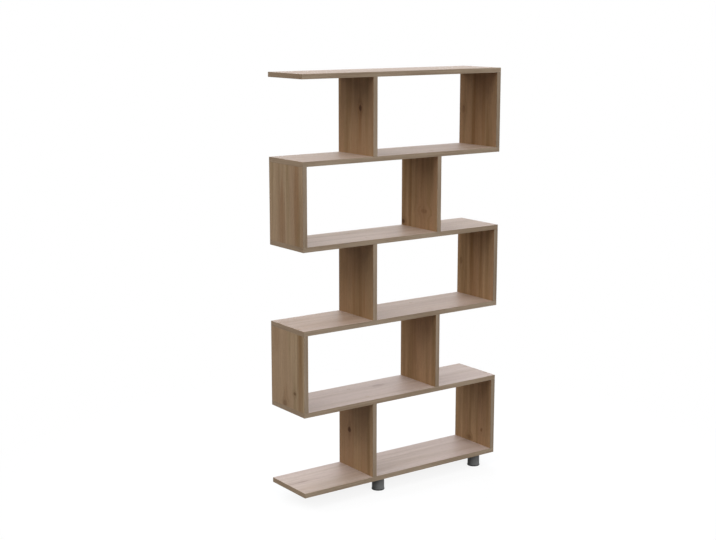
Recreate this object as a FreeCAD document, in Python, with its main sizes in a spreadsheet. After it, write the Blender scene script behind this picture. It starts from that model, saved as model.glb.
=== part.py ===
"""Zigzag bookshelf: six full-length shelves on staggered pairs of uprights, standing on four moulded feet.

Millimetres, +Z up. The origin is on the floor under the middle of the shelves, +X runs along them to the
right as seen from the front, and +Y runs to the back. Every board is drawn from its own left, front, bottom
corner and then placed, so each size below is a distance that can be read off the real piece with a tape.
"""
import FreeCAD, Part

import math
import os

import Sketcher

TIERS = 5
FOOT_RIBS = 4
SOCKET_SIDES = 6

SIZES = {
    # boards of melamine-faced chipboard, measured over their edging
    "shelf_length": 900,
    "board_depth": 218,
    "board_thickness": 18,
    "tier_clear_height": 282,
    # from a shelf end to the nearer face of the inner upright, on tiers 1, 3, 5 and on tiers 2, 4
    "left_inner_setback": 303,
    "right_inner_setback": 284,
    # strips glued to the sawn edges, with their outer corners trimmed back
    "edging_thickness": 0.8,
    "edging_trim": 0.4,
    # one-piece connecting screws, driven through a shelf into the end of an upright
    "screw_edge_distance": 49,
    "screw_length": 50,
    "screw_neck_diameter": 7,
    "screw_core_diameter": 5,
    "screw_point_length": 3,
    "screw_head_diameter": 10,
    "screw_head_angle": 90,
    "screw_socket_width": 4,
    "screw_socket_depth": 3,
    "hole_clearance": 0.1,
    "hole_tip_clearance": 1,
    # stick-on caps over the screw heads that show
    "cap_diameter": 14,
    "cap_thickness": 0.5,
    # hollow moulded feet, each with one screw up into the bottom shelf and a glide pushed into its rim
    "foot_height": 50,
    "foot_top_diameter": 46,
    "foot_base_diameter": 47,
    "foot_wall": 2.5,
    "foot_top_plate": 4,
    "foot_hub_height": 14,
    "foot_hub_wall": 2.5,
    "foot_hub_clearance": 1,
    "foot_rib_thickness": 2,
    "foot_edge_distance": 40,
    "left_foot_setback": 357,
    "right_foot_setback": 70,
    "glide_diameter": 49,
    "glide_thickness": 4,
    "glide_edge": 0.8,
    "glide_plug_height": 6,
    "foot_screw_length": 18,
    "foot_screw_diameter": 4.5,
    "foot_screw_head_diameter": 9,
    "foot_screw_head_height": 3,
}

doc = FreeCAD.newDocument("ZigzagBookshelf")
sheet = doc.addObject("Spreadsheet::Sheet", "Sizes")
for row, (alias, size) in enumerate(SIZES.items(), 1):
    sheet.set(f"A{row}", alias)
    sheet.set(f"B{row}", str(size))
    sheet.setAlias(f"B{row}", alias)
doc.recompute()

subparts = []


def value(expression):
    """What an expression over the sheet comes to, in millimetres or degrees."""
    return float(sheet.evalExpression(expression))


def place(piece, across, deep, high):
    """Put a piece at three distances from the left end, the front face and the floor."""
    piece.setExpression("Placement.Base.x", f"{across} - Sizes.shelf_length / 2")
    piece.setExpression("Placement.Base.y", f"{deep} - Sizes.board_depth / 2")
    piece.setExpression("Placement.Base.z", high)


def new_body(label):
    """An empty body that becomes a sub-part of its own."""
    body = doc.addObject("PartDesign::Body", label)
    body.Label = label
    subparts.append(body)
    return body


def new_sketch(body, role, name, height="0"):
    """A sketch on one of the body's own origin planes, raised along the plane's normal."""
    sketch = body.newObject("Sketcher::SketchObject", f"{body.Label}_{name}")
    plane = next(feature for feature in body.Origin.OriginFeatures if feature.Role == role)
    sketch.AttachmentSupport = [(plane, "")]
    sketch.MapMode = "FlatFace"
    sketch.setExpression("AttachmentOffset.Base.z", height)
    return sketch


def pin_down(sketch, geometry, point, across, up):
    """Hold one point of the sketch at two distances from its origin."""
    for kind, axis, expression in (("DistanceX", -2, across), ("DistanceY", -1, up)):
        if expression == "0":
            sketch.addConstraint(Sketcher.Constraint("PointOnObject", geometry, point, axis))
        else:
            distance = value(expression)
            index = sketch.addConstraint(Sketcher.Constraint(kind, -1, 1, geometry, point, distance))
            sketch.setExpression(f"Constraints[{index}]", expression)


def draw_outline(sketch, corners):
    """A closed outline of straight sides, with each corner held by a pair of expressions."""
    points = [FreeCAD.Vector(value(across), value(up), 0) for across, up in corners]
    count = len(points)
    for side in range(count):
        sketch.addGeometry(Part.LineSegment(points[side], points[(side + 1) % count]))
    for side, (across, up) in enumerate(corners):
        sketch.addConstraint(Sketcher.Constraint("Coincident", side, 2, (side + 1) % count, 1))
        pin_down(sketch, side, 1, across, up)


def pad_block(body, left, right, front, back, height):
    """A square-edged block, padded up from its footprint."""
    sketch = new_sketch(body, "XY_Plane", "footprint")
    draw_outline(sketch, [(left, front), (right, front), (right, back), (left, back)])
    pad = body.newObject("PartDesign::Pad", f"{body.Label}_block")
    pad.Profile = sketch
    pad.setExpression("Length", height)
    doc.recompute()


def revolve_outline(body, corners):
    """A turned or moulded round piece: an outline on the XZ plane, spun about Z."""
    sketch = new_sketch(body, "XZ_Plane", "section")
    draw_outline(sketch, corners)
    turned = body.newObject("PartDesign::Revolution", f"{body.Label}_turned")
    turned.Profile = sketch
    turned.ReferenceAxis = (sketch, ["V_Axis"])
    turned.Angle = 360
    doc.recompute()


def require_cut(body, before, least):
    """Stop if the last cut took away less than it should have."""
    removed = before - body.Shape.Volume
    if removed < least * 0.999:
        raise RuntimeError(f"a cut in {body.Label} took away {removed:.1f} of {least:.1f} cubic mm")


def drill(body, name, centres, diameter, surface, upward, depth=None):
    """Holes from a level surface of the body: blind to a depth, or else right through and countersunk."""
    sketch = new_sketch(body, "XY_Plane", f"{name}_centres", surface)
    for across, deep in centres:
        middle = FreeCAD.Vector(value(across), value(deep), 0)
        circle = sketch.addGeometry(Part.Circle(middle, FreeCAD.Vector(0, 0, 1), value(diameter) / 2))
        pin_down(sketch, circle, 3, across, deep)
        index = sketch.addConstraint(Sketcher.Constraint("Diameter", circle, value(diameter)))
        sketch.setExpression(f"Constraints[{index}]", diameter)
    doc.recompute()
    before = body.Shape.Volume
    hole = body.newObject("PartDesign::Hole", f"{body.Label}_{name}")
    hole.Profile = sketch
    doc.recompute()
    hole.ThreadType = "None"
    hole.Reversed = upward
    hole.DrillPoint = "Flat"
    hole.setExpression("Diameter", diameter)
    if depth:
        hole.DepthType = "Dimension"
        hole.setExpression("Depth", depth)
    else:
        hole.DepthType = "ThroughAll"
        hole.HoleCutType = "Countersink"
        hole.HoleCutCustomValues = True
        hole.setExpression("HoleCutDiameter", f"Sizes.screw_head_diameter + 2 * {CLEARANCE}")
        hole.setExpression("HoleCutCountersinkAngle", "Sizes.screw_head_angle")
    doc.recompute()
    bored = len(centres) * math.pi / 4 * value(diameter) ** 2 * value(depth or THICKNESS)
    require_cut(body, before, bored)


def group(label, pieces):
    """Separate solids that share one sub-part."""
    compound = doc.addObject("Part::Compound", label)
    compound.Label = label
    compound.Links = pieces
    subparts.append(compound)


LENGTH = "Sizes.shelf_length"
DEPTH = "Sizes.board_depth"
THICKNESS = "Sizes.board_thickness"
CLEAR_HEIGHT = "Sizes.tier_clear_height"
BAND = "Sizes.edging_thickness"
CLEARANCE = "Sizes.hole_clearance"

NECK_HOLE = f"Sizes.screw_neck_diameter + 2 * {CLEARANCE}"
CORE_HOLE = f"Sizes.screw_core_diameter + 2 * {CLEARANCE}"
SCREW_ROWS = ("Sizes.screw_edge_distance", f"{DEPTH} - Sizes.screw_edge_distance")


def shelf_underside(number):
    """Height of a shelf's lower face, counting shelves from 1 at the bottom."""
    return f"Sizes.foot_height + {number - 1} * ({CLEAR_HEIGHT} + {THICKNESS})"


def tier_floor(tier):
    """Height of the shelf face that a tier's uprights stand on."""
    return f"{shelf_underside(tier)} + {THICKNESS}"


def uprights_of(tier):
    """Left faces of a tier's two uprights, from the left end. The pair swaps sides from tier to tier."""
    if tier % 2:
        return {
            "inner": "Sizes.left_inner_setback",
            "end": f"{LENGTH} - {THICKNESS}",
        }
    return {
        "inner": f"{LENGTH} - Sizes.right_inner_setback - {THICKNESS}",
        "end": "0",
    }


def screw_places(tier):
    """Screw axes over or under a tier: two along the middle of each upright."""
    middles = [f"{left} + {THICKNESS} / 2" for left in uprights_of(tier).values()]
    return [(middle, row) for middle in middles for row in SCREW_ROWS]


def edging_strip(name, along, high, turn, corner):
    """A glued strip: its outer face is trimmed back all round, and its glued face stands on the board."""
    strip = doc.addObject("Part::Wedge", name)
    ends = {"X": along, "Z": high}
    strip.Ymin = 0
    strip.setExpression("Ymax", BAND)
    for axis, size in ends.items():
        setattr(strip, f"{axis}min", 0)
        strip.setExpression(f"{axis}max", size)
        strip.setExpression(f"{axis}2min", "Sizes.edging_trim")
        strip.setExpression(f"{axis}2max", f"{size} - Sizes.edging_trim")
    strip.Placement.Rotation = FreeCAD.Rotation(FreeCAD.Vector(0, 0, 1), turn)
    place(strip, *corner)
    return strip


# Shelves. Each is drilled and countersunk from above for the uprights below it, and from below for the
# uprights on it. The short ends are banded first, so the front and back strips run over their ends.
foot_columns = {
    "left": "Sizes.left_foot_setback",
    "right": f"{LENGTH} - Sizes.right_foot_setback",
}
foot_rows = {
    "front": "Sizes.foot_edge_distance",
    "back": f"{DEPTH} - Sizes.foot_edge_distance",
}
foot_places = {
    f"{row}_{column}": (foot_columns[column], foot_rows[row]) for row in foot_rows for column in foot_columns
}
foot_screw_hole = f"Sizes.foot_screw_diameter + 2 * {CLEARANCE}"
foot_screw_depth = "Sizes.foot_screw_length - Sizes.foot_top_plate + Sizes.hole_tip_clearance"

for number in range(1, TIERS + 2):
    shelf = new_body(f"shelf_{number}")
    underside = shelf_underside(number)
    pad_block(shelf, BAND, f"{LENGTH} - {BAND}", BAND, f"{DEPTH} - {BAND}", THICKNESS)
    if number > 1:
        drill(shelf, "top_holes", screw_places(number - 1), NECK_HOLE, THICKNESS, upward=False)
    if number <= TIERS:
        drill(shelf, "underside_holes", screw_places(number), NECK_HOLE, "0", upward=True)
    if number == 1:
        drill(shelf, "foot_holes", list(foot_places.values()), foot_screw_hole, "0", True, foot_screw_depth)
    place(shelf, "0", "0", underside)

    back_edge = f"{DEPTH} - {BAND}"
    core_depth = f"{DEPTH} - 2 * {BAND}"
    strips = {
        "front": (LENGTH, 180, LENGTH, BAND),
        "back": (LENGTH, 0, "0", back_edge),
        "left": (core_depth, 90, BAND, BAND),
        "right": (core_depth, -90, f"{LENGTH} - {BAND}", back_edge),
    }
    group(
        f"shelf_{number}_edging",
        [
            edging_strip(f"shelf_{number}_{side}", along, THICKNESS, turn, (across, deep, underside))
            for side, (along, turn, across, deep) in strips.items()
        ],
    )

# Uprights. They stand between two shelves and are drilled in both ends, on the shelves' screw axes. Only
# their long front and back edges show, so only those are banded.
end_hole_depth = f"Sizes.screw_length - {THICKNESS} + Sizes.hole_tip_clearance"
end_hole_places = [(f"{THICKNESS} / 2", row) for row in SCREW_ROWS]
for tier in range(1, TIERS + 1):
    foot_of_tier = tier_floor(tier)
    for kind, left in uprights_of(tier).items():
        upright = new_body(f"tier_{tier}_{kind}_upright")
        pad_block(upright, "0", THICKNESS, BAND, f"{DEPTH} - {BAND}", CLEAR_HEIGHT)
        drill(upright, "top_holes", end_hole_places, CORE_HOLE, CLEAR_HEIGHT, False, end_hole_depth)
        drill(upright, "bottom_holes", end_hole_places, CORE_HOLE, "0", True, end_hole_depth)
        place(upright, left, "0", foot_of_tier)

        front_corner = (f"{left} + {THICKNESS}", BAND, foot_of_tier)
        back_corner = (left, f"{DEPTH} - {BAND}", foot_of_tier)
        group(
            f"tier_{tier}_{kind}_upright_edging",
            [
                edging_strip(f"tier_{tier}_{kind}_front", THICKNESS, CLEAR_HEIGHT, 180, front_corner),
                edging_strip(f"tier_{tier}_{kind}_back", THICKNESS, CLEAR_HEIGHT, 0, back_corner),
            ],
        )

# Connecting screws. One is drawn, head down with its top face at the origin, and repeated on every screw
# axis: turned over on top of the shelves, and as drawn on their undersides. The smooth neck fills the hole
# in the shelf and the threaded core, drawn plain, fills the hole in the upright.
HEAD_RADIUS = "Sizes.screw_head_diameter / 2"
NECK_RADIUS = "Sizes.screw_neck_diameter / 2"
CORE_RADIUS = "Sizes.screw_core_diameter / 2"
head_height = f"({HEAD_RADIUS} - {NECK_RADIUS}) / tan(Sizes.screw_head_angle / 2 * 1 deg)"
screw = doc.addObject("PartDesign::Body", "connecting_screw")
revolve_outline(
    screw,
    [
        ("0", "0"),
        (HEAD_RADIUS, "0"),
        (NECK_RADIUS, head_height),
        (NECK_RADIUS, THICKNESS),
        (CORE_RADIUS, THICKNESS),
        (CORE_RADIUS, "Sizes.screw_length - Sizes.screw_point_length"),
        (f"{CORE_RADIUS} / 2", "Sizes.screw_length"),
        ("0", "Sizes.screw_length"),
    ],
)

# The socket for the hexagon key, whose corners lie on a circle about the screw's axis.
socket_sketch = new_sketch(screw, "XY_Plane", "socket_outline")
socket_radius = f"Sizes.screw_socket_width / 2 / cos(180 deg / {SOCKET_SIDES})"
socket_turns = [f"{corner} * 360 deg / {SOCKET_SIDES}" for corner in range(SOCKET_SIDES)]
socket_corners = [
    (f"{socket_radius} * cos({turn})", f"{socket_radius} * sin({turn})") for turn in socket_turns
]
draw_outline(socket_sketch, socket_corners)
before_socket = screw.Shape.Volume
socket = screw.newObject("PartDesign::Pocket", "connecting_screw_socket")
socket.Profile = socket_sketch
socket.Reversed = True
socket.setExpression("Length", "Sizes.screw_socket_depth")
doc.recompute()
socket_round = "pi * (Sizes.screw_socket_width / 2) ^ 2 * Sizes.screw_socket_depth"
require_cut(screw, before_socket, value(socket_round))


def repeat(original, name, turn, places):
    """Copies of one fastener, each at its own place and turned about X."""
    copies = []
    for count, (across, deep, high) in enumerate(places, 1):
        copy = doc.addObject("App::Link", f"{name}_{count}")
        copy.LinkedObject = original
        copy.Placement.Rotation = FreeCAD.Rotation(FreeCAD.Vector(1, 0, 0), turn)
        place(copy, across, deep, high)
        copies.append(copy)
    return copies


top_heads = []
underside_heads = []
for tier in range(1, TIERS + 1):
    for across, deep in screw_places(tier):
        top_heads.append((across, deep, tier_floor(tier + 1)))
        underside_heads.append((across, deep, shelf_underside(tier)))
group("shelf_top_screws", repeat(screw, "top_screw", 180, top_heads))
group("shelf_underside_screws", repeat(screw, "underside_screw", 0, underside_heads))

# Cover caps. Thin discs in the boards' own finish lie over the heads on top of the shelves.
cap = doc.addObject("Part::Cylinder", "cover_cap")
cap.setExpression("Radius", "Sizes.cap_diameter / 2")
cap.setExpression("Height", "Sizes.cap_thickness")
group("screw_cover_caps", repeat(cap, "cover_cap_copy", 0, top_heads))

# Feet. Each is a tapered cup, open below, whose top plate has a hub round the screw head and ribs that carry
# the load out to the wall. A pan-head screw goes up through the plate, and a glide is pushed into the rim.
foot_top_radius = "Sizes.foot_top_diameter / 2"
foot_base_radius = "Sizes.foot_base_diameter / 2"
cup_height = "Sizes.foot_height - Sizes.glide_thickness"
plate_underside = f"{cup_height} - Sizes.foot_top_plate"
foot_hole_radius = f"Sizes.foot_screw_diameter / 2 + {CLEARANCE}"
hub_bore_radius = "Sizes.foot_screw_head_diameter / 2 + Sizes.foot_hub_clearance"
hub_radius = f"{hub_bore_radius} + Sizes.foot_hub_wall"
hub_base = f"{plate_underside} - Sizes.foot_hub_height"
rib_inner_end = f"{hub_radius} - Sizes.foot_hub_wall / 2"
rib_outer_end = f"{foot_top_radius} - Sizes.foot_wall / 2"
rib_side = "Sizes.foot_rib_thickness / 2"
glide_radius = "Sizes.glide_diameter / 2"
plug_draft = f"({foot_base_radius} - {foot_top_radius}) * Sizes.glide_plug_height / ({plate_underside})"
plug_radius = f"{foot_base_radius} - Sizes.foot_wall - {plug_draft} - {CLEARANCE}"
for name, (across, deep) in foot_places.items():
    foot = new_body(f"{name}_foot")
    revolve_outline(
        foot,
        [
            (foot_hole_radius, plate_underside),
            (hub_bore_radius, plate_underside),
            (hub_bore_radius, hub_base),
            (hub_radius, hub_base),
            (hub_radius, plate_underside),
            (f"{foot_top_radius} - Sizes.foot_wall", plate_underside),
            (f"{foot_base_radius} - Sizes.foot_wall", "0"),
            (foot_base_radius, "0"),
            (foot_top_radius, cup_height),
            (foot_hole_radius, cup_height),
        ],
    )
    rib_sketch = new_sketch(foot, "XY_Plane", "rib_outline", plate_underside)
    rib_corners = [(rib_inner_end, f"-{rib_side}"), (rib_outer_end, f"-{rib_side}")]
    rib_corners += [(rib_outer_end, rib_side), (rib_inner_end, rib_side)]
    draw_outline(rib_sketch, rib_corners)
    rib = foot.newObject("PartDesign::Pad", f"{foot.Label}_rib")
    rib.Profile = rib_sketch
    rib.Reversed = True
    rib.setExpression("Length", "Sizes.foot_hub_height")
    ribs = foot.newObject("PartDesign::PolarPattern", f"{foot.Label}_ribs")
    ribs.Originals = [rib]
    ribs.Axis = (rib_sketch, ["N_Axis"])
    ribs.Angle = 360
    ribs.Occurrences = FOOT_RIBS
    foot.Tip = ribs
    place(foot, across, deep, "Sizes.glide_thickness")

    glide = new_body(f"{name}_foot_glide")
    revolve_outline(
        glide,
        [
            ("0", "0"),
            (f"{glide_radius} - Sizes.glide_edge", "0"),
            (glide_radius, "Sizes.glide_edge"),
            (glide_radius, "Sizes.glide_thickness"),
            (plug_radius, "Sizes.glide_thickness"),
            (plug_radius, "Sizes.glide_thickness + Sizes.glide_plug_height"),
            ("0", "Sizes.glide_thickness + Sizes.glide_plug_height"),
        ],
    )
    place(glide, across, deep, "0")

foot_screw = doc.addObject("PartDesign::Body", "foot_screw")
foot_screw_radius = "Sizes.foot_screw_diameter / 2"
foot_screw_head_radius = "Sizes.foot_screw_head_diameter / 2"
foot_screw_tip = "Sizes.foot_screw_head_height + Sizes.foot_screw_length"
revolve_outline(
    foot_screw,
    [
        ("0", "0"),
        (foot_screw_head_radius, "0"),
        (foot_screw_head_radius, "Sizes.foot_screw_head_height"),
        (foot_screw_radius, "Sizes.foot_screw_head_height"),
        (foot_screw_radius, foot_screw_tip),
        ("0", foot_screw_tip),
    ],
)
foot_screw_base = "Sizes.foot_height - Sizes.foot_top_plate - Sizes.foot_screw_head_height"
foot_screw_places = [(across, deep, foot_screw_base) for across, deep in foot_places.values()]
group("foot_screws", repeat(foot_screw, "foot_screw_copy", 0, foot_screw_places))

doc.recompute()
for item in doc.Objects:
    if "Invalid" in item.State or "Error" in item.State:
        raise RuntimeError(f"{item.Label} did not compute: {item.State}")
for piece in subparts:
    if piece.Shape.isNull() or not piece.Shape.isValid():
        raise RuntimeError(f"{piece.Label} has no valid shape")

os.makedirs("parts", exist_ok=True)
for piece in subparts:
    piece.Shape.exportStep(f"parts/{piece.Label}.step")
print(len(subparts), "sub-parts,", sum(len(piece.Shape.Solids) for piece in subparts), "solids")
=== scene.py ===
"""A zigzag bookshelf: six oak-print shelves on five tiers of staggered uprights, on short plastic feet.

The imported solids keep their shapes. This script gives each of them its finish, and sets a pale studio
round them.
"""
import math

import bpy
from mathutils import Euler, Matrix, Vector


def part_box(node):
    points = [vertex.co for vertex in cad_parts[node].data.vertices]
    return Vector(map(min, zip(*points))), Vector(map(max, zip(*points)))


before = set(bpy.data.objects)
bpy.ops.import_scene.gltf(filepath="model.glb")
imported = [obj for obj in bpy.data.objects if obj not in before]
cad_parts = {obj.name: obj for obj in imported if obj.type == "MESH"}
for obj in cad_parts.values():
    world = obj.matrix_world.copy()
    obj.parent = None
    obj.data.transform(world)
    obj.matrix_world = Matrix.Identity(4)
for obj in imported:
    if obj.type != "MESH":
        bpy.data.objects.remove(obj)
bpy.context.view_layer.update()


# Shelves: six boards of melamine-faced chipboard. Paper printed as oak is pressed on both faces, with the
# grain along the shelf. The edges are bare sawn chipboard until the edging covers them, and the walls of
# the screw holes stay so.
TIERS = 5                       # rows of uprights, one fewer than the shelves
SHELF_GLOSS = 1.0               # how strongly the print mirrors: 0.5 is a clear lacquer
# These tones are paler and greyer than the uprights': partly painted light, for the cool light and sheen
# that the shelves' tops catch.
SHELF_PALE = (0.487, 0.377, 0.307, 1.0)
SHELF_BROWN = (0.374, 0.271, 0.201, 1.0)
SHELF_ROSE = (0.440, 0.326, 0.265, 1.0)


def shader_group(name, inputs, outputs):
    """An empty node group with its named sockets, and the two nodes that stand for its ends."""
    group = bpy.data.node_groups.new(name, "ShaderNodeTree")
    for in_out, sockets in (("INPUT", inputs), ("OUTPUT", outputs)):
        for socket, kind in sockets.items():
            group.interface.new_socket(socket, in_out=in_out, socket_type="NodeSocket" + kind)
    return group, group.nodes.new("NodeGroupInput").outputs, group.nodes.new("NodeGroupOutput").inputs


def add(tree, kind, feeds=None, **settings):
    """One node: its settings, then each input as a plain value or as the socket that feeds it."""
    node = tree.nodes.new("ShaderNode" + kind)
    for name, setting in settings.items():
        setattr(node, name, setting)
    for socket, feed in (feeds or {}).items():
        if isinstance(feed, bpy.types.NodeSocket):
            tree.links.new(feed, node.inputs[socket])
        else:
            node.inputs[socket].default_value = feed
    return node


def sums(tree, operation, first, second=0.0, third=0.0, clamp=False):
    """The result of one arithmetic node."""
    node = add(tree, "Math", {0: first, 1: second, 2: third}, operation=operation, use_clamp=clamp)
    return node.outputs[0]


def vectors(tree, operation, first, second):
    """The vector that one vector arithmetic node gives."""
    return add(tree, "VectorMath", {0: first, 1: second}, operation=operation).outputs["Vector"]


def length(tree, vector):
    """How long a vector is."""
    return add(tree, "VectorMath", {0: vector}, operation="LENGTH").outputs["Value"]


def scaled(tree, vector, factor):
    """A vector or a colour, times a value."""
    return add(tree, "VectorMath", {0: vector, "Scale": factor}, operation="SCALE").outputs["Vector"]


def axes_of(tree, vector):
    """The parts of a vector, as the sockets X, Y and Z."""
    return add(tree, "SeparateXYZ", {"Vector": vector}).outputs


def reordered(tree, axes, order):
    """A place with its axes in another order, such as ZYX."""
    return add(tree, "CombineXYZ", dict(zip("XYZ", (axes[axis] for axis in order)))).outputs["Vector"]


def noise(tree, place, fineness, detail=2.0, roughness=0.5):
    """Soft noise round 0.5. fineness is about how many marks it has to the metre, along each axis."""
    spread = vectors(tree, "MULTIPLY", place, fineness)
    feeds = {"Vector": spread, "Scale": 1.0, "Detail": detail, "Roughness": roughness}
    return add(tree, "TexNoise", feeds).outputs["Fac"]


def remap(tree, value, low, high, to_low=0.0, to_high=1.0):
    """A value taken smoothly from one range to another, and held at its ends."""
    feeds = {"Value": value, "From Min": low, "From Max": high, "To Min": to_low, "To Max": to_high}
    return add(tree, "MapRange", feeds, interpolation_type="SMOOTHSTEP").outputs["Result"]


# A mixing node holds its sockets for values, vectors and colours in turn, so they go by number.
def values(tree, factor, first, second):
    """Two values mixed."""
    return add(tree, "Mix", {0: factor, 2: first, 3: second}).outputs[0]


def colours(tree, factor, first, second, blend="MIX"):
    """Two colours mixed, or the second laid over the first."""
    node = add(tree, "Mix", {0: factor, 6: first, 7: second}, data_type="RGBA", blend_type=blend)
    return node.outputs[2]


# Spans of a knot are distances from its centre in knot sizes, where an effect starts and where it is full.
KNOT_HEART = (1.30, 0.60)
KNOT_HALO = (3.6, 1.0)
KNOT_TAIL = (1.6, 0.2)
KNOT_TAIL_SHAPE = (0.25, 1.1, 1.1)  # how far the tail is drawn out along the grain: four times
KNOT_TAIL_DEPTH = 0.22
KNOT_RINGS = 7.0                # how fast the rings round it follow each other
KNOT_RING_DEPTH = 0.07
KNOT_PARTING = (0.0, -0.7, -0.7)    # how far the grain lines bend aside
KNOT_RAGGED = (70.0, 190.0, 190.0)  # how fine its ragged outline is
KNOT_RAGGEDNESS = 0.9


def knot_group():
    """A knot: the grain parts round it, its heart is dark, and a faint tail runs out along the grain."""
    group, given, out = shader_group(
        "knot in the grain",
        {"Grain": "Vector", "Knots": "Float", "Centre": "Vector", "Size": "Vector", "Depth": "Float"},
        {"Grain": "Vector", "Knots": "Float"})
    away = vectors(group, "SUBTRACT", given["Grain"], given["Centre"])
    spread = vectors(group, "DIVIDE", away, given["Size"])
    ragged = noise(group, given["Grain"], KNOT_RAGGED, detail=3.0)
    ragged = sums(group, "MULTIPLY_ADD", ragged, KNOT_RAGGEDNESS, -KNOT_RAGGEDNESS / 2)
    distance = sums(group, "ADD", length(group, spread), ragged)
    heart = remap(group, distance, *KNOT_HEART)
    tail_distance = length(group, vectors(group, "MULTIPLY", spread, KNOT_TAIL_SHAPE))
    tail = remap(group, tail_distance, *KNOT_TAIL, 0.0, KNOT_TAIL_DEPTH)
    halo = remap(group, distance, *KNOT_HALO)
    ring = sums(group, "SINE", sums(group, "MULTIPLY", distance, KNOT_RINGS))
    ring = sums(group, "MULTIPLY_ADD", ring, KNOT_RING_DEPTH, KNOT_RING_DEPTH)
    round_it = sums(group, "ADD", tail, sums(group, "MULTIPLY", ring, halo))
    mark = sums(group, "MULTIPLY", sums(group, "MAXIMUM", heart, round_it), given["Depth"])
    group.links.new(sums(group, "MAXIMUM", given["Knots"], mark), out["Knots"])
    drawn_in = scaled(group, vectors(group, "MULTIPLY", away, KNOT_PARTING), halo)
    group.links.new(vectors(group, "ADD", given["Grain"], drawn_in), out["Grain"])
    return group


STREAK_SPAN = (1.25, 0.35)      # distances from its centre, in streak sizes, where it starts and is full
STREAK_RAGGED = (5.0, 160.0, 160.0)
STREAK_RAGGEDNESS = 0.8


def streak_and_shade_group():
    """A broad darkening with soft, slightly ragged sides: a grain streak, or as wide as a board, painted
    shade.
    """
    group, given, out = shader_group(
        "dark streak and shade",
        {"Grain": "Vector", "Shade": "Float", "Centre": "Vector", "Size": "Vector", "Depth": "Float"},
        {"Shade": "Float"})
    away = vectors(group, "SUBTRACT", given["Grain"], given["Centre"])
    spread = vectors(group, "DIVIDE", away, given["Size"])
    ragged = noise(group, given["Grain"], STREAK_RAGGED)
    ragged = sums(group, "MULTIPLY_ADD", ragged, STREAK_RAGGEDNESS, -STREAK_RAGGEDNESS / 2)
    distance = sums(group, "ADD", length(group, spread), ragged)
    mark = sums(group, "MULTIPLY", remap(group, distance, *STREAK_SPAN), given["Depth"])
    group.links.new(sums(group, "MAXIMUM", given["Shade"], mark), out["Shade"])
    return group


# The print's layers, and how fine each one is along the grain, across it and through the board.
OAK_STRAYS = (2.2, 9.0, 9.0)
OAK_RIPPLES = (9.0, 20.0, 20.0)
OAK_BANDS = (1.1, 15.0, 15.0)
OAK_STRIPES = (1.6, 38.0, 38.0)
OAK_LINES = (3.0, 150.0, 150.0)
OAK_FIBRES = (11.0, 760.0, 760.0)
OAK_PORES = (52.0, 1500.0, 1500.0)
GRAIN_WANDER = 0.012            # how far a grain line strays to the side over a board's length, metres
GRAIN_RIPPLE = 0.006            # and over a hand's breadth
GROWTH_LINES = 85.0             # how closely growth lines follow each other across a band
GROWTH_DEPTH = 0.022
BROWN_TO_PALE = (0.28, 0.68)    # noise levels where a stripe starts to turn pale, and where it is
ROSE_BANDS = (0.42, 0.62)       # and where a band starts to turn rose, and where it is
ROSE_SHARE = 0.75
LINE_LEVELS = (0.25, 0.75)      # noise levels between which lines and fibres change shade
LINE_SHADES = (0.94, 1.06)
FIBRE_SHADES = (0.92, 1.08)
FIBRE_HEIGHT = 0.5              # against the depth of a pore
PORE_OPENS = (0.60, 0.72)       # noise levels where a pore starts and where it is open
PORE_DEPTH = 0.55
OAK_PORE = (0.150, 0.088, 0.048, 1.0)
# The streaks' colour, which the painted shade over whole shelves also takes.
OAK_STREAK_AND_SHADE = (0.150, 0.055, 0.004, 1.0)
OAK_KNOT = (0.074, 0.026, 0.006, 1.0)
ROUGH_LEVELS = (0.2, 0.8)       # noise levels between which the roughness changes
OAK_ROUGH = (0.45, 0.55)


def oak_print_group():
    """Printed oak: broad bands, arched growth lines, fibres and pores, all drawn out along the grain."""
    group, given, out = shader_group(
        "oak print",
        {"Grain": "Vector", "Knots": "Float", "Shade": "Float",
         "Pale": "Color", "Brown": "Color", "Rose": "Color"},
        {"Colour": "Color", "Roughness": "Float", "Height": "Float"})
    stray = sums(group, "SUBTRACT", noise(group, given["Grain"], OAK_STRAYS), 0.5)
    ripple = sums(group, "SUBTRACT", noise(group, given["Grain"], OAK_RIPPLES, detail=1.0), 0.5)
    stray = sums(group, "MULTIPLY", stray, GRAIN_WANDER)
    stray = sums(group, "MULTIPLY_ADD", ripple, GRAIN_RIPPLE, stray)
    aside = add(group, "CombineXYZ", {"X": 0.0, "Y": stray, "Z": stray}).outputs["Vector"]
    grain = vectors(group, "ADD", given["Grain"], aside)
    band = noise(group, grain, OAK_BANDS)
    stripe = noise(group, grain, OAK_STRIPES, detail=1.5, roughness=0.45)
    line = noise(group, grain, OAK_LINES, detail=3.0)
    fibre = noise(group, grain, OAK_FIBRES)
    pore = remap(group, noise(group, grain, OAK_PORES, detail=1.0), *PORE_OPENS)
    colour = colours(group, remap(group, stripe, *BROWN_TO_PALE), given["Brown"], given["Pale"])
    colour = colours(group, remap(group, band, *ROSE_BANDS, 0.0, ROSE_SHARE), colour, given["Rose"])
    # Dark streaks of the print, and painted shade over whole shelves.
    colour = colours(group, given["Shade"], colour, OAK_STREAK_AND_SHADE)
    growth = sums(group, "SINE", sums(group, "MULTIPLY", band, GROWTH_LINES))
    shade = sums(group, "MULTIPLY_ADD", growth, GROWTH_DEPTH, 1.0)
    shade = sums(group, "MULTIPLY", shade, remap(group, line, *LINE_LEVELS, *LINE_SHADES))
    shade = sums(group, "MULTIPLY", shade, remap(group, fibre, *LINE_LEVELS, *FIBRE_SHADES))
    colour = scaled(group, colour, shade)
    colour = colours(group, sums(group, "MULTIPLY", pore, PORE_DEPTH), colour, OAK_PORE)
    colour = colours(group, given["Knots"], colour, OAK_KNOT)
    height = sums(group, "SUBTRACT", sums(group, "MULTIPLY", fibre, FIBRE_HEIGHT), pore)
    group.links.new(colour, out["Colour"])
    group.links.new(remap(group, fibre, *ROUGH_LEVELS, *OAK_ROUGH), out["Roughness"])
    group.links.new(height, out["Height"])
    return group


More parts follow.
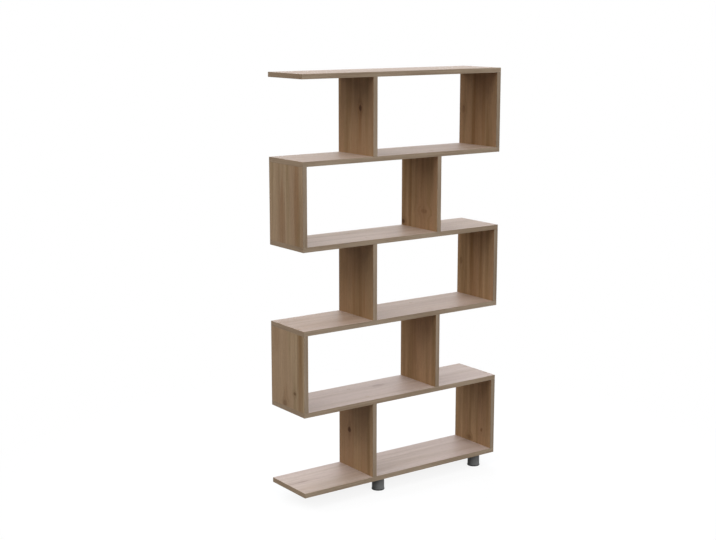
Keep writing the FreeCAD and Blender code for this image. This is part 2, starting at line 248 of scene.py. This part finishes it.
CHIPS = (420.0, 420.0, 900.0)   # how fine the chips are, which lie flat in the board
CHIP_GAPS = (0.55, 0.85)        # distances from a chip's middle where a gap starts and where it is open
CHIP_PALE = (0.560, 0.410, 0.255, 1.0)
CHIP_DARK = (0.290, 0.185, 0.100, 1.0)


def chipboard_group():
    """Sawn chipboard: pressed chips of many shades, with small open gaps between them."""
    group, given, out = shader_group(
        "sawn chipboard", {"Place": "Vector"}, {"Colour": "Color", "Height": "Float"})
    spread = vectors(group, "MULTIPLY", given["Place"], CHIPS)
    chip = add(group, "TexVoronoi", {"Vector": spread, "Scale": 1.0}, feature="F1").outputs
    shade = add(group, "SeparateColor", {"Color": chip["Color"]}).outputs["Red"]
    gap = remap(group, chip["Distance"], *CHIP_GAPS)
    colour = colours(group, shade, CHIP_DARK, CHIP_PALE)
    group.links.new(colours(group, gap, colour, OAK_PORE), out["Colour"])
    group.links.new(sums(group, "SUBTRACT", shade, gap), out["Height"])
    return group


knot_in_grain = knot_group()
dark_streak_and_shade = streak_and_shade_group()
oak_print = oak_print_group()
sawn_chipboard = chipboard_group()


def new_material(name, gloss):
    """A material of some gloss: itself, its tree and its surface."""
    material = bpy.data.materials.new(name)
    material.use_nodes = True
    surface = material.node_tree.nodes["Principled BSDF"]
    surface.inputs["Specular IOR Level"].default_value = gloss
    return material, material.node_tree, surface


RELIEF_DEPTH = 0.0001           # metres


def dress(tree, surface, colour, roughness, height, relief, depth=RELIEF_DEPTH):
    """A surface takes its colour and roughness, and a relief of some strength and depth."""
    bump = add(tree, "Bump", {"Strength": relief, "Distance": depth, "Height": height})
    tree.links.new(colour, surface.inputs["Base Color"])
    tree.links.new(roughness, surface.inputs["Roughness"])
    tree.links.new(bump.outputs["Normal"], surface.inputs["Normal"])


def looks_along(tree, axis, least):
    """One on faces that look along an axis, either way, by at least so much, and none on the others."""
    normal = add(tree, "NewGeometry").outputs["Normal"]
    return sums(tree, "GREATER_THAN", sums(tree, "ABSOLUTE", axes_of(tree, normal)[axis]), least)


def place_marks(tree, group, chain, grain, marks):
    """One group node for each mark, each fed by the one before it. chain is the mask's socket."""
    mask = 0.0
    for centre, half_length, half_width, depth in marks:
        size = (half_length, half_width, half_width)
        feeds = {"Grain": grain, chain: mask, "Centre": centre, "Size": size, "Depth": depth}
        mark = add(tree, "Group", feeds, node_tree=group).outputs
        grain = mark.get("Grain", grain)
        mask = mark[chain]
    return grain, mask


BOARD_FACE = 0.9                # how squarely a face of the board looks along its axis, at least
BOARD_RELIEF = 0.25
SAWN_ROUGH = 0.85


def board_material(name, grain_axes, gloss, tones, knots, streaks_and_shade):
    """Board with the print on its two faces, and sawn chipboard everywhere else.

    grain_axes puts the part's own axes in the order along the grain, across it, through the board."""
    material, tree, surface = new_material(name, gloss)
    place = add(tree, "TexCoord").outputs["Object"]
    grain = reordered(tree, axes_of(tree, place), grain_axes)
    grain, knotted = place_marks(tree, knot_in_grain, "Knots", grain, knots)
    grain, shaded = place_marks(tree, dark_streak_and_shade, "Shade", grain, streaks_and_shade)
    feeds = {"Grain": grain, "Knots": knotted, "Shade": shaded, **tones}
    printed = add(tree, "Group", feeds, node_tree=oak_print).outputs
    sawn = add(tree, "Group", {"Place": place}, node_tree=sawn_chipboard).outputs
    is_face = looks_along(tree, grain_axes[-1], BOARD_FACE)
    colour = colours(tree, is_face, sawn["Colour"], printed["Colour"])
    rough = values(tree, is_face, SAWN_ROUGH, printed["Roughness"])
    height = values(tree, is_face, sawn["Height"], printed["Height"])
    dress(tree, surface, colour, rough, height, BOARD_RELIEF)
    return material


def finish(names, material):
    """The nodes' own material slots take the finish."""
    for name in names:
        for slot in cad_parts[name].material_slots:
            slot.material = material


def tinted(colour, tint):
    """A colour times the shares of its red, green and blue."""
    return (*(part * share for part, share in zip(colour, tint)), 1.0)


def marks_on(boards, marks, spot):
    """The knots, streaks or painted shades that lie on some boards, with their centres worked out.

    A mark is given as its board, how far along and across it lies, half its length, half its width and
    how dark it is. spot gives its centre from the corners of the board's box."""
    return [(spot(*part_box(board), along, across), *size)
            for board, along, across, *size in marks if board in boards]


def print_per_tint(kind, tints, grain_axes, gloss, tones, spot, knots, streaks_and_shade):
    """One material for each tint of the print, given to the boards that take it.

    A tint is its red, green and blue against the plain tones, and the names of its boards. Most tints are
    sheets of board of slightly different tone; some are painted light, as their lists say."""
    prints = []
    for number, (tint, boards) in enumerate(tints, start=1):
        tinted_tones = {tone: tinted(colour, tint) for tone, colour in tones.items()}
        own_knots = marks_on(boards, knots, spot)
        own_streaks_and_shade = marks_on(boards, streaks_and_shade, spot)
        material = board_material(
            f"{kind} {number}", grain_axes, gloss, tinted_tones, own_knots, own_streaks_and_shade)
        finish(boards, material)
        prints.append(material)
    return prints


def shelf_spot(low, high, along, across):
    """A spot on a shelf's top, to the right and back from its middle, in the grain's order."""
    middle = (low + high) / 2
    return middle.x + along, middle.y + across, high.z


shelf_names = [f"shelf_{number}" for number in range(1, TIERS + 2)]
SHELF_TINTS = (
    # Painted sheen: the two lowest shelves are cooler, for the pale cool sheen on their tops.
    ((0.995, 1.02, 1.08), shelf_names[:2]),
    ((1.0, 1.0, 1.0), shelf_names[2:]),
)
SHELF_KNOTS = (
    ("shelf_1", -0.392, 0.003, 0.034, 0.004, 0.50),
    ("shelf_2", -0.017, 0.038, 0.030, 0.014, 0.36),
)
# The last four are broad shades: one over the left part of shelf 3, and three over whole shelves, painted
# shade that offsets the stronger sheen that the higher shelves catch.
SHELF_STREAKS_AND_SHADE = (
    ("shelf_3", 0.020, 0.060, 0.060, 0.007, 0.22),
    ("shelf_4", -0.130, -0.020, 0.090, 0.006, 0.15),
    ("shelf_3", -0.300, 0.000, 0.280, 0.150, 0.32),
    ("shelf_3", 0.000, 0.000, 1.500, 0.180, 0.18),
    ("shelf_4", 0.000, 0.000, 1.500, 0.180, 0.09),
    ("shelf_5", 0.000, 0.000, 1.500, 0.180, 0.13),
)
shelf_tones = {"Pale": SHELF_PALE, "Brown": SHELF_BROWN, "Rose": SHELF_ROSE}
shelf_prints = print_per_tint(
    "shelf oak print", SHELF_TINTS, "XYZ", SHELF_GLOSS, shelf_tones, shelf_spot,
    SHELF_KNOTS, SHELF_STREAKS_AND_SHADE)


# Uprights: two boards of the same stuff in each tier, standing between the shelves with the grain upright.
# One is flush with an end of the shelves and one stands further in, and they swap sides from tier to tier.
# Screws through the shelves hold them at both ends.
UPRIGHT_GLOSS = 0.07
UPRIGHT_PALE = (0.370, 0.236, 0.131, 1.0)
UPRIGHT_BROWN = (0.248, 0.150, 0.072, 1.0)
UPRIGHT_ROSE = (0.339, 0.201, 0.112, 1.0)
UPRIGHT_TINTS = (
    ((1.00, 0.98, 0.95), ("tier_1_inner_upright",)),
    # Partly painted light: this tint is lifted for the light that the shelf below throws up on the board.
    ((1.21, 1.20, 1.20), ("tier_1_end_upright",)),
    ((1.14, 1.11, 1.08), ("tier_2_inner_upright", "tier_3_end_upright", "tier_4_inner_upright")),
    ((0.92, 0.89, 0.85), ("tier_3_inner_upright", "tier_5_inner_upright")),
    ((0.95, 0.93, 0.90), ("tier_5_end_upright",)),
    ((1.08, 1.19, 1.30), ("tier_2_end_upright",)),
    ((0.99, 1.08, 1.19), ("tier_4_end_upright",)),
)
UPRIGHT_KNOTS = (
    ("tier_1_inner_upright", 0.147, 0.042, 0.011, 0.0100, 0.95),
    ("tier_1_end_upright", 0.015, 0.021, 0.009, 0.0140, 0.36),
    ("tier_1_end_upright", 0.063, -0.054, 0.008, 0.0070, 0.50),
    ("tier_2_end_upright", 0.059, -0.047, 0.006, 0.0085, 0.66),
    ("tier_2_end_upright", 0.010, 0.019, 0.011, 0.0130, 0.40),
    ("tier_3_end_upright", 0.132, 0.087, 0.017, 0.0090, 0.38),
    ("tier_4_inner_upright", 0.069, -0.030, 0.009, 0.0190, 0.32),
    ("tier_4_inner_upright", 0.015, 0.098, 0.009, 0.0110, 0.84),
    ("tier_5_inner_upright", 0.168, -0.029, 0.012, 0.0085, 0.95),
    ("tier_5_end_upright", 0.134, 0.084, 0.018, 0.0090, 0.40),
)
UPRIGHT_STREAKS = (
    ("tier_1_inner_upright", 0.162, 0.000, 0.035, 0.006, 0.26),
    ("tier_1_end_upright", 0.172, -0.080, 0.160, 0.022, 0.16),
    ("tier_2_inner_upright", 0.152, 0.030, 0.200, 0.022, 0.24),
    ("tier_2_end_upright", 0.142, -0.080, 0.320, 0.022, 0.42),
    ("tier_2_end_upright", 0.032, 0.010, 0.060, 0.020, 0.18),
    ("tier_2_end_upright", 0.252, 0.072, 0.070, 0.025, 0.20),
    ("tier_3_inner_upright", 0.142, 0.000, 0.220, 0.062, 0.18),
    ("tier_3_inner_upright", 0.092, -0.052, 0.100, 0.010, 0.28),
    ("tier_3_inner_upright", 0.112, 0.018, 0.120, 0.010, 0.28),
    ("tier_3_end_upright", 0.132, 0.022, 0.220, 0.015, 0.42),
    ("tier_3_end_upright", 0.132, -0.033, 0.200, 0.013, 0.34),
    ("tier_3_end_upright", 0.162, -0.006, 0.220, 0.045, 0.18),
    ("tier_4_inner_upright", 0.142, 0.054, 0.170, 0.010, 0.30),
    ("tier_4_inner_upright", 0.142, -0.020, 0.200, 0.055, 0.14),
    ("tier_4_end_upright", 0.082, 0.026, 0.160, 0.022, 0.36),
    ("tier_4_end_upright", 0.142, -0.069, 0.260, 0.020, 0.42),
    ("tier_5_inner_upright", 0.132, -0.026, 0.120, 0.011, 0.36),
    ("tier_5_inner_upright", 0.212, 0.036, 0.100, 0.015, 0.28),
    ("tier_5_end_upright", 0.132, 0.024, 0.220, 0.015, 0.42),
    ("tier_5_end_upright", 0.132, -0.034, 0.200, 0.013, 0.34),
    ("tier_5_end_upright", 0.162, -0.006, 0.220, 0.045, 0.18),
)


def upright_spot(low, high, along, across):
    """A spot on an upright's left face, up from its foot, back from its middle, in the grain's order."""
    middle = (low + high) / 2
    return low.z + along, middle.y + across, low.x


upright_names = [
    f"tier_{tier}_{place}_upright" for tier in range(1, TIERS + 1) for place in ("inner", "end")]
upright_tones = {"Pale": UPRIGHT_PALE, "Brown": UPRIGHT_BROWN, "Rose": UPRIGHT_ROSE}
print_per_tint(
    "upright oak print", UPRIGHT_TINTS, "ZYX", UPRIGHT_GLOSS, upright_tones, upright_spot,
    UPRIGHT_KNOTS, UPRIGHT_STREAKS)


# Edging: thin plastic strips printed as oak, glued over the sawn edges and trimmed flush with a small
# bevel. The print runs along each strip: along the shelf at front and back, across it at the ends, and up
# the uprights.
EDGING_GLOSS = 0.08
EDGING_PALE = (0.345, 0.270, 0.197, 1.0)
EDGING_BROWN = (0.225, 0.164, 0.111, 1.0)
EDGING_END_TINT = (0.990, 0.910, 0.825, 1.0)    # the strips at the ends come from a browner roll
EDGING_SHADES = {               # boards whose strips are paler or darker than the rest
    "shelf_1": 1.06,
    "shelf_2": 1.10,
    "tier_1_end_upright": 0.90,
    "tier_3_end_upright": 0.90,
    "tier_4_end_upright": 0.94,
    "tier_5_end_upright": 0.82,
}
EDGING_LINES = (3.0, 420.0, 420.0)
EDGING_CLOUDS = (5.0, 30.0, 30.0)
EDGING_PORES = (60.0, 1500.0, 1500.0)
EDGING_LINE_SHARE = 0.6         # of the tone, and the rest is clouds
EDGING_TONES = (0.3, 0.7)       # noise levels where brown starts to turn pale, and where it is
EDGING_LINE_HEIGHT = 0.4        # against the depth of a pore
EDGING_PORE_DEPTH = 0.4         # how dark a pore is
EDGING_ROUGH = (0.36, 0.50)
EDGING_RELIEF = 0.2
EDGING_END = 0.5                # how squarely an end strip looks along the shelf, at least


def edging_material(name, grain_axes, end_axes, shade):
    """Oak-print edging of some shade. On strips that look along X the print takes end_axes."""
    material, tree, surface = new_material(name, EDGING_GLOSS)
    axes = axes_of(tree, add(tree, "TexCoord").outputs["Object"])
    runs = [reordered(tree, axes, order) for order in (grain_axes, end_axes)]
    at_end = looks_along(tree, "X", EDGING_END)
    run = add(tree, "Mix", {0: at_end, 4: runs[0], 5: runs[1]}, data_type="VECTOR").outputs[1]
    line = noise(tree, run, EDGING_LINES, detail=3.0)
    cloud = noise(tree, run, EDGING_CLOUDS)
    pore = remap(tree, noise(tree, run, EDGING_PORES, detail=1.0), *PORE_OPENS)
    tone = sums(tree, "MULTIPLY", cloud, 1.0 - EDGING_LINE_SHARE)
    tone = sums(tree, "MULTIPLY_ADD", line, EDGING_LINE_SHARE, tone)
    brown, pale = (tinted(colour, (shade, shade, shade)) for colour in (EDGING_BROWN, EDGING_PALE))
    colour = colours(tree, remap(tree, tone, *EDGING_TONES), brown, pale)
    colour = colours(tree, at_end, colour, EDGING_END_TINT, "MULTIPLY")
    colour = colours(tree, sums(tree, "MULTIPLY", pore, EDGING_PORE_DEPTH), colour, OAK_PORE)
    rough = remap(tree, line, *ROUGH_LEVELS, *EDGING_ROUGH)
    height = sums(tree, "SUBTRACT", sums(tree, "MULTIPLY", line, EDGING_LINE_HEIGHT), pore)
    dress(tree, surface, colour, rough, height, EDGING_RELIEF)
    return material


for boards, kind, grain_axes, end_axes in (
        (shelf_names, "shelf edging", "XYZ", "YZX"), (upright_names, "upright edging", "ZYX", "ZYX")):
    shades = {board: EDGING_SHADES.get(board, 1.0) for board in boards}
    for shade in sorted(set(shades.values())):
        strip_print = edging_material(f"{kind} {shade:.2f}", grain_axes, end_axes, shade)
        finish([board + "_edging" for board in boards if shades[board] == shade], strip_print)


# Connecting screws and foot screws: zinc-plated steel, cold headed, with rolled shanks. Their plating is a
# little cloudy, and fine turning marks run round them.
ZINC_GLOSS = 0.5
ZINC_BRIGHT = (0.640, 0.650, 0.660, 1.0)
ZINC_DULL = (0.430, 0.430, 0.425, 1.0)
ZINC_CLOUDS = (300.0, 300.0, 300.0)
ZINC_TURNING = (40.0, 40.0, 6000.0)
ZINC_TONES = (0.35, 0.65)       # noise levels where dull starts to turn bright, and where it is
ZINC_ROUGH_LEVELS = (0.3, 0.7)
ZINC_ROUGH = (0.42, 0.28)       # where it is dull, and where it is bright
ZINC_RELIEF = 0.2
ZINC_RELIEF_DEPTH = 0.00005     # metres
zinc, zinc_tree, zinc_surface = new_material("zinc plating", ZINC_GLOSS)
zinc_surface.inputs["Metallic"].default_value = 1.0
zinc_place = add(zinc_tree, "TexCoord").outputs["Object"]
zinc_cloud = noise(zinc_tree, zinc_place, ZINC_CLOUDS, detail=3.0)
zinc_turning = noise(zinc_tree, zinc_place, ZINC_TURNING)
zinc_colour = colours(zinc_tree, remap(zinc_tree, zinc_cloud, *ZINC_TONES), ZINC_DULL, ZINC_BRIGHT)
zinc_rough = remap(zinc_tree, zinc_cloud, *ZINC_ROUGH_LEVELS, *ZINC_ROUGH)
dress(zinc_tree, zinc_surface, zinc_colour, zinc_rough, zinc_turning, ZINC_RELIEF, ZINC_RELIEF_DEPTH)
finish(["shelf_top_screws", "shelf_underside_screws", "foot_screws"], zinc)


# Cover caps: thin discs of the same oak print as most of the shelves, with an adhesive back. They are
# stuck over the screw heads that lie on top of the shelves.
finish(["screw_cover_caps"], shelf_prints[-1])


# Feet and glides: moulded plastic cups, grey with a fine matt skin, screwed under the bottom shelf.
# Painted light makes the feet paler towards the floor. A harder dark glide is pushed into the open end of
# each one.
FOOT_GLOSS = 0.15
FOOT_GREY = (0.101, 0.099, 0.095, 1.0)
# The paler grey of the scuffs and clouds, and of the painted light near the floor.
FOOT_SCUFF_AND_LIGHT = (0.168, 0.170, 0.169, 1.0)
FOOT_PAINTED_LIGHT = 0.85                # how strongly painted light pales the foot near the floor
FOOT_PAINTED_LIGHT_SPAN = (0.041, 0.011)     # heights above the floor where it starts and where it is full, metres
FOOT_ROUGH = 0.5
GLIDE_BLACK = (0.022, 0.023, 0.024, 1.0)
GLIDE_SCUFF = (0.060, 0.060, 0.059, 1.0)
GLIDE_ROUGH = 0.42
GLIDE_PAINTED_LIGHT = 0.0
PLASTIC_CLOUDS = (45.0, 45.0, 70.0)
PLASTIC_SKIN = (2600.0, 2600.0, 2600.0)
PLASTIC_SCUFFS = (900.0, 160.0, 300.0)
CLOUD_LEVELS = (0.3, 0.7)       # noise levels where a cloud starts and where it is full
CLOUD_DEPTH = 0.4
SCUFF_OPENS = (0.62, 0.74)      # noise levels where a scuff starts and where it is full
SCUFF_DEPTH = 0.6
ROUGH_SWING = 0.06
PLASTIC_RELIEF = 0.3


def moulded_material(name, base, mark, roughness, painted_light):
    """Moulded plastic with a fine spark-eroded skin, flow clouds, scuffs, and painted light paler towards
    the floor.
    """
    material, tree, surface = new_material(name, FOOT_GLOSS)
    place = add(tree, "TexCoord").outputs["Object"]
    cloud = noise(tree, place, PLASTIC_CLOUDS, detail=3.0)
    skin = noise(tree, place, PLASTIC_SKIN)
    scuff = remap(tree, noise(tree, place, PLASTIC_SCUFFS, detail=3.0), *SCUFF_OPENS)
    amount = remap(tree, cloud, *CLOUD_LEVELS, 0.0, CLOUD_DEPTH)
    amount = sums(tree, "MULTIPLY_ADD", scuff, SCUFF_DEPTH, amount)
    # Painted light: the foot turns paler towards the floor.
    lit_low = remap(tree, axes_of(tree, place)["Z"], *FOOT_PAINTED_LIGHT_SPAN, 0.0, painted_light)
    amount = sums(tree, "ADD", amount, lit_low, clamp=True)
    rough = remap(tree, cloud, *CLOUD_LEVELS, roughness - ROUGH_SWING, roughness + ROUGH_SWING)
    dress(tree, surface, colours(tree, amount, base, mark), rough, skin, PLASTIC_RELIEF)
    return material


foot_names = [f"{row}_{side}_foot" for row in ("front", "back") for side in ("left", "right")]
foot_plastic = moulded_material("grey moulded plastic", FOOT_GREY, FOOT_SCUFF_AND_LIGHT, FOOT_ROUGH, FOOT_PAINTED_LIGHT)
glide_plastic = moulded_material("dark glide plastic", GLIDE_BLACK, GLIDE_SCUFF, GLIDE_ROUGH, GLIDE_PAINTED_LIGHT)
finish(foot_names, foot_plastic)
finish([name + "_glide" for name in foot_names], glide_plastic)


# Studio: a plain floor that runs on into a white surround. The lens sees the floor white, with a soft
# shadow under the shelf, but it throws little light back up. The light of the surround comes mostly from
# above.
WHITE = (1.0, 1.0, 1.0, 1.0)
FLOOR_HALF = 9.0                # metres
FLOOR_DULL = (0.12, 0.12, 0.12, 1.0)
FLOOR_ROUGH = 0.9
FLOOR_GLOSS = 0.1
SHADOW_REACH = (0.5, 1.6)       # metres out where the floor starts to turn plain white, and where it is
SHADOW_SHARE = 0.14             # how much of the floor's own shade the lens sees near the shelf
LIGHT_OVERHEAD = 0.84
LIGHT_AT_HORIZON = 0.0


def seen_directly(tree):
    """One for rays from the lens, off gloss and through glass, and none for light that falls on things."""
    path = add(tree, "LightPath").outputs
    seen = sums(tree, "MAXIMUM", path["Is Camera Ray"], path["Is Glossy Ray"])
    return sums(tree, "MAXIMUM", seen, path["Is Transmission Ray"])


def mixed(tree, factor, first, second):
    """What two shader nodes give, mixed."""
    return add(tree, "MixShader", {0: factor, 1: first.outputs[0], 2: second.outputs[0]})


floor_corners = [(x * FLOOR_HALF, y * FLOOR_HALF, 0.0) for x, y in ((-1, -1), (1, -1), (1, 1), (-1, 1))]
floor_mesh = bpy.data.meshes.new("floor")
floor_mesh.from_pydata(floor_corners, [], [(0, 1, 2, 3)])
floor = bpy.data.objects.new("floor", floor_mesh)
bpy.context.scene.collection.objects.link(floor)
floor_paint, floor_tree, floor_surface = new_material("pale floor", FLOOR_GLOSS)
floor_surface.inputs["Base Color"].default_value = FLOOR_DULL
floor_surface.inputs["Roughness"].default_value = FLOOR_ROUGH
floor_away = length(floor_tree, add(floor_tree, "TexCoord").outputs["Object"])
floor_share = remap(floor_tree, floor_away, *SHADOW_REACH, 1.0 - SHADOW_SHARE, 1.0)
floor_shaded = add(floor_tree, "BsdfDiffuse", {"Color": WHITE})
floor_white = add(floor_tree, "Emission", {"Color": WHITE, "Strength": 1.0})
floor_look = mixed(floor_tree, floor_share, floor_shaded, floor_white)
floor_mix = mixed(floor_tree, seen_directly(floor_tree), floor_surface, floor_look)
floor_tree.links.new(floor_mix.outputs[0], floor_tree.nodes["Material Output"].inputs["Surface"])
floor_mesh.materials.append(floor_paint)

world = bpy.data.worlds.new("studio")
bpy.context.scene.world = world
world.use_nodes = True
world_tree = world.node_tree
world_light = world_tree.nodes["Background"]
world_light.inputs["Color"].default_value = WHITE
world_up = axes_of(world_tree, add(world_tree, "TexCoord").outputs["Generated"])["Z"]
world_level = remap(world_tree, world_up, 0.0, 1.0, LIGHT_AT_HORIZON, LIGHT_OVERHEAD)
world_tree.links.new(world_level, world_light.inputs["Strength"])
world_white = add(world_tree, "Background", {"Color": WHITE, "Strength": 1.0})
world_mix = mixed(world_tree, seen_directly(world_tree), world_light, world_white)
world_tree.links.new(world_mix.outputs[0], world_tree.nodes["World Output"].inputs["Surface"])


# Lamps: three large softboxes, the strongest in front, one high up at the left and one high up behind at
# the left. A small, slightly cool one stands lower, behind at the right, and lights the shelves' tops
# through the open back. None of them shows in the gloss.
LAMP_TARGET = Vector((0.0, 0.0, 0.8))
LAMPS = (                       # name, place, width in metres, watts, tint
    ("front softbox", (0.5, -8.3, 4.5), 6.0, 530.0, (1.0, 1.0, 1.0)),
    ("left softbox", (-7.0, -1.0, 6.5), 6.0, 330.0, (0.95, 1.0, 1.05)),
    ("back softbox", (-5.5, 6.5, 6.0), 6.0, 250.0, (1.0, 1.0, 1.0)),
    ("low back softbox", (1.6, 2.2, 1.75), 1.6, 52.0, (0.83, 0.95, 1.14)),
)
for name, place, width, watts, tint in LAMPS:
    lamp = bpy.data.lights.new(name, "AREA")
    lamp.size = width
    lamp.energy = watts
    lamp.color = tint
    softbox = bpy.data.objects.new(name, lamp)
    softbox.location = place
    softbox.rotation_euler = (LAMP_TARGET - Vector(place)).to_track_quat("-Z", "Y").to_euler()
    softbox.visible_camera = False
    softbox.visible_glossy = False
    bpy.context.scene.collection.objects.link(softbox)


# Camera: where the photographer stood, a little above the top shelf and to the left of the front, with a
# short telephoto lens that looks slightly down.
CAMERA_PLACE = (-2.983, -3.968, 1.783)
CAMERA_DIP = 10.95              # degrees below the level
CAMERA_TURN = 35.65             # degrees to the right of straight on
CAMERA_LENS = 67.67             # millimetres
CAMERA_SENSOR = 36.0            # millimetres wide
camera_lens = bpy.data.cameras.new("camera")
camera_lens.sensor_width = CAMERA_SENSOR
camera_lens.lens = CAMERA_LENS
camera = bpy.data.objects.new("camera", camera_lens)
camera.location = CAMERA_PLACE
camera.rotation_euler = Euler((math.radians(90.0 - CAMERA_DIP), 0.0, math.radians(-CAMERA_TURN)))
bpy.context.scene.collection.objects.link(camera)
bpy.context.scene.camera = camera
bpy.context.scene.view_settings.view_transform = "Standard"
